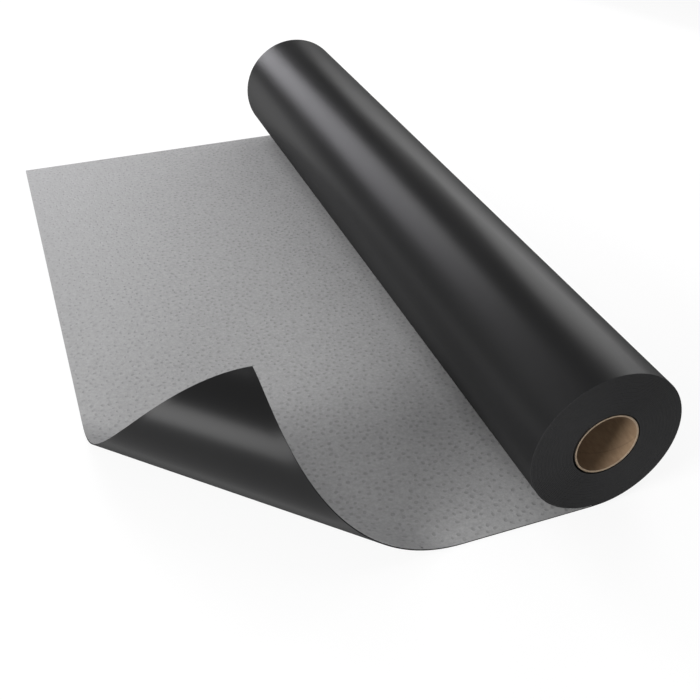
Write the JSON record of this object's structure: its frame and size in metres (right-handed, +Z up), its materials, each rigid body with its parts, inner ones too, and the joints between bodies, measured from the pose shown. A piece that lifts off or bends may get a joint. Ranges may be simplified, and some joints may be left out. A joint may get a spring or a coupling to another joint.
{
  "type": "roll of pvc roofing membrane",
  "caption": "Partly unrolled roll of two-tone roofing membrane on a cardboard tube, with a length laid flat and one free corner rolled up to show the underside.",
  "frame": {"origin": "on the floor, at the centre of the whole object's footprint", "axes": "+Z up, Y along the roll's axis with the rolled-up corner at -Y, and the laid sheet running out from the roll towards -X"},
  "size_m": [0.5843, 1.05, 0.1766],
  "materials": {
    "membrane_back": "semi-gloss calendered black pvc, the underside of the sheet and the outside of the roll",
    "membrane_face": "matt mid grey pvc with a fine embossed pattern, the weathering face of the sheet",
    "core_cardboard": "bare wound brown cardboard"
  },
  "bodies": {
    "root": {"membrane": "membrane_back", "core_tube": "core_cardboard"}
  },
  "joints": []
}
